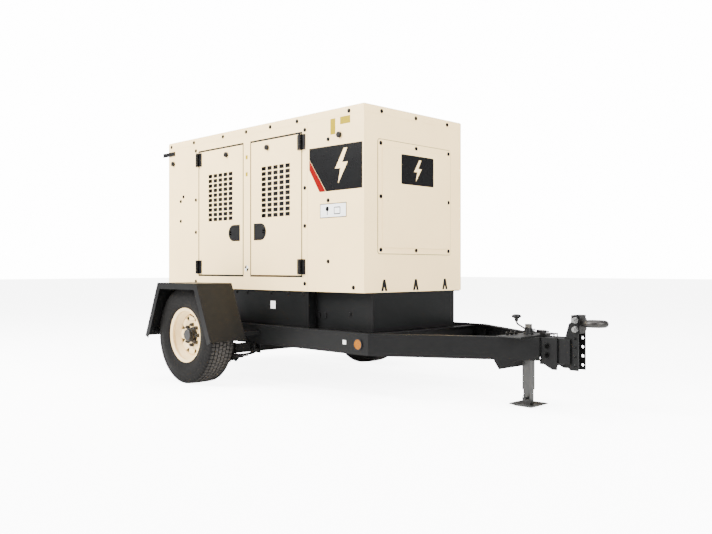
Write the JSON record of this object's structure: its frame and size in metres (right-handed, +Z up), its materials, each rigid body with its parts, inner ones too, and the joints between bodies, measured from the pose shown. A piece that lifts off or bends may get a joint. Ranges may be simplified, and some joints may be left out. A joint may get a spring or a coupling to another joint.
{
  "type": "towable diesel generator",
  "caption": "Single-axle trailer with a ring hitch and crank jack that carries a closed diesel generator set with louvred side doors, roof exhaust and rear control panel.",
  "frame": {"origin": "on the ground, half way along the whole machine and on its centre plane", "axes": "+X forward to the tow ring, +Y to the machine's left side, +Z up"},
  "size_m": [4.297, 2.37, 2.1376],
  "materials": {
    "housing_cream": "semi-gloss powder coat",
    "wheel_cream": "semi-gloss paint",
    "chassis_black": "semi-gloss powder coat",
    "axle_black": "satin paint",
    "spring_steel": "satin paint",
    "tyre_rubber": "matte",
    "drum_black": "satin paint on iron",
    "ring_steel": "dark forged steel",
    "bolt_zinc": "zinc plated",
    "jack_zinc": "zinc plated",
    "knob_plastic": "matte",
    "lamp_amber": "moulded reflector",
    "hinge_plastic": "satin black",
    "latch_plastic": "satin black",
    "screw_black": "black capped",
    "engine_iron": "painted casting",
    "rotor_steel": "machined",
    "alternator_paint": "painted casting",
    "fan_plastic": "moulded",
    "radiator_aluminium": "painted core",
    "battery_plastic": "moulded",
    "exhaust_steel": "aluminised steel",
    "panel_grey": "textured paint",
    "stop_red": "gloss",
    "switch_black": "matte"
  },
  "bodies": {
    "trailer": {"alternator": "alternator_paint", "battery": "battery_plastic", "control_panel": "panel_grey", "cross_members": "chassis_black", "drawbar": "chassis_black", "engine_block": "engine_iron", "fenders": "chassis_black", "front_cover": "housing_cream", "front_housing": "housing_cream", "fuel_tank": "chassis_black", "hinge_brackets": "hinge_plastic", "hitch_bolts": "bolt_zinc", "hitch_box": "chassis_black", "jack_tube": "jack_zinc", "leaf_springs": "spring_steel", "lunette_ring": "ring_steel", "marker_lamps": "lamp_amber", "muffler": "exhaust_steel", "panel_screws": "screw_black", "radiator": "radiator_aluminium", "rear_wall": "housing_cream", "roof": "housing_cream", "safety_chains": "bolt_zinc", "side_rails": "chassis_black", "side_walls": "housing_cream", "skid_base": "chassis_black", "tongue_beams": "chassis_black", "tongue_fittings": "bolt_zinc"},
    "axle": {"axle_beam": "axle_black", "u_bolts": "axle_black"},
    "wheel_left": {"tyre_left": "tyre_rubber", "rim_left": "wheel_cream", "hub_left": "drum_black"},
    "door_rear_left": {"door_rear_left": "housing_cream", "hardware_rear_left": "hinge_plastic"},
    "paddle_rear_left": {"paddle_rear_left": "latch_plastic"},
    "door_front_left": {"door_front_left": "housing_cream", "hardware_front_left": "hinge_plastic"},
    "paddle_front_left": {"paddle_front_left": "latch_plastic"},
    "wheel_right": {"tyre_right": "tyre_rubber", "rim_right": "wheel_cream", "hub_right": "drum_black"},
    "door_rear_right": {"door_rear_right": "housing_cream", "hardware_rear_right": "hinge_plastic"},
    "paddle_rear_right": {"paddle_rear_right": "latch_plastic"},
    "door_front_right": {"door_front_right": "housing_cream", "hardware_front_right": "hinge_plastic"},
    "paddle_front_right": {"paddle_front_right": "latch_plastic"},
    "jack_leg": {"jack_leg": "jack_zinc", "jack_foot": "jack_zinc"},
    "foot_pin": {"foot_pin": "jack_zinc"},
    "crank": {"crank_handle": "jack_zinc"},
    "crank_knob": {"crank_knob": "knob_plastic"},
    "rear_door": {"rear_door": "housing_cream"},
    "rain_cap": {"rain_cap": "exhaust_steel"},
    "crank_train": {"crank_train": "rotor_steel"},
    "cooling_fan": {"cooling_fan": "fan_plastic"},
    "emergency_stop": {"emergency_stop": "stop_red"},
    "start_switch": {"start_switch": "switch_black"},
    "breaker_handle": {"breaker_handle": "switch_black"}
  },
  "joints": [
    {"name": "axle_travel", "type": "slide", "parent": "trailer", "child": "axle", "axis": [0, 0, 1], "range_m": [0, 0.02], "stiffness_N_per_m": 300000, "springref_m": -0.0612, "deforming": ["leaf_springs"]},
    {"name": "wheel_left_spin", "type": "hinge", "parent": "axle", "child": "wheel_left", "pos_m": [-0.9315, 1.0025, 0.391], "axis": [0, 1, 0], "continuous": true},
    {"name": "wheel_right_spin", "type": "hinge", "parent": "axle", "child": "wheel_right", "pos_m": [-0.9315, -1.0025, 0.391], "axis": [0, 1, 0], "continuous": true},
    {"name": "crank_turn", "type": "hinge", "parent": "trailer", "child": "crank", "pos_m": [1.5775, 0, 0.538], "axis": [0, 0, 1], "range_deg": [-7167.7, 578.7]},
    {"name": "jack_travel", "type": "slide", "parent": "trailer", "child": "jack_leg", "axis": [0, 0, 1], "range_m": [-0.25, 0.02]},
    {"name": "knob_spin", "type": "hinge", "parent": "crank", "child": "crank_knob", "pos_m": [1.5775, -0.145, 0.598], "axis": [0, 0, 1], "continuous": true},
    {"name": "foot_pin_pull", "type": "slide", "parent": "jack_leg", "child": "foot_pin", "axis": [0, 1, 0], "range_m": [-0.09, 0]},
    {"name": "door_rear_left_swing", "type": "hinge", "parent": "trailer", "child": "door_rear_left", "pos_m": [-1.5425, 0.59, 1.43], "axis": [0, 0, 1], "range_deg": [0, 178]},
    {"name": "paddle_rear_left_pull", "type": "hinge", "parent": "door_rear_left", "child": "paddle_rear_left", "pos_m": [-0.9375, 0.563, 1.235], "axis": [0, 0, -1], "range_deg": [0, 14], "stiffness_Nm_per_rad": 0.6, "springref_deg": -8.59},
    {"name": "door_front_left_swing", "type": "hinge", "parent": "trailer", "child": "door_front_left", "pos_m": [-0.1125, 0.59, 1.43], "axis": [0, 0, -1], "range_deg": [0, 178]},
    {"name": "paddle_front_left_pull", "type": "hinge", "parent": "door_front_left", "child": "paddle_front_left", "pos_m": [-0.7005, 0.563, 1.235], "axis": [0, 0, 1], "range_deg": [0, 14], "stiffness_Nm_per_rad": 0.6, "springref_deg": -8.59},
    {"name": "door_rear_right_swing", "type": "hinge", "parent": "trailer", "child": "door_rear_right", "pos_m": [-1.5425, -0.59, 1.43], "axis": [0, 0, -1], "range_deg": [0, 178]},
    {"name": "paddle_rear_right_pull", "type": "hinge", "parent": "door_rear_right", "child": "paddle_rear_right", "pos_m": [-0.9375, -0.563, 1.235], "axis": [0, 0, 1], "range_deg": [0, 14], "stiffness_Nm_per_rad": 0.6, "springref_deg": -8.59},
    {"name": "door_front_right_swing", "type": "hinge", "parent": "trailer", "child": "door_front_right", "pos_m": [-0.1125, -0.59, 1.43], "axis": [0, 0, 1], "range_deg": [0, 178]},
    {"name": "paddle_front_right_pull", "type": "hinge", "parent": "door_front_right", "child": "paddle_front_right", "pos_m": [-0.7005, -0.563, 1.235], "axis": [0, 0, -1], "range_deg": [0, 14], "stiffness_Nm_per_rad": 0.6, "springref_deg": -8.59},
    {"name": "rear_door_lift", "type": "hinge", "parent": "trailer", "child": "rear_door", "pos_m": [-2.1245, 0, 2.018], "axis": [0, 1, 0], "range_deg": [0, 100]},
    {"name": "rain_cap_flap", "type": "hinge", "parent": "trailer", "child": "rain_cap", "pos_m": [-1.9245, -0.4, 2.1315], "axis": [0, -1, 0], "range_deg": [0, 75]},
    {"name": "engine_spin", "type": "hinge", "parent": "trailer", "child": "crank_train", "pos_m": [-0.5915, 0, 1.05], "axis": [1, 0, 0], "continuous": true},
    {"name": "fan_spin", "type": "hinge", "parent": "trailer", "child": "cooling_fan", "pos_m": [0.2535, 0, 1.29], "axis": [1, 0, 0], "continuous": true},
    {"name": "stop_press", "type": "slide", "parent": "trailer", "child": "emergency_stop", "axis": [1, 0, 0], "range_m": [0, 0.006], "stiffness_N_per_m": 800, "springref_m": -0.002},
    {"name": "start_switch_turn", "type": "hinge", "parent": "trailer", "child": "start_switch", "pos_m": [-2.0445, -0.2, 1.76], "axis": [1, 0, 0], "range_deg": [-45, 45]},
    {"name": "breaker_throw", "type": "hinge", "parent": "trailer", "child": "breaker_handle", "pos_m": [-2.0265, 0.2, 1.58], "axis": [0, 1, 0], "range_deg": [-25, 25]}
  ],
  "couplings": [
    {"joint": "crank_turn", "follows": "jack_travel", "rad_per_m": 500},
    {"joint": "fan_spin", "follows": "engine_spin", "ratio": 1.2}
  ]
}
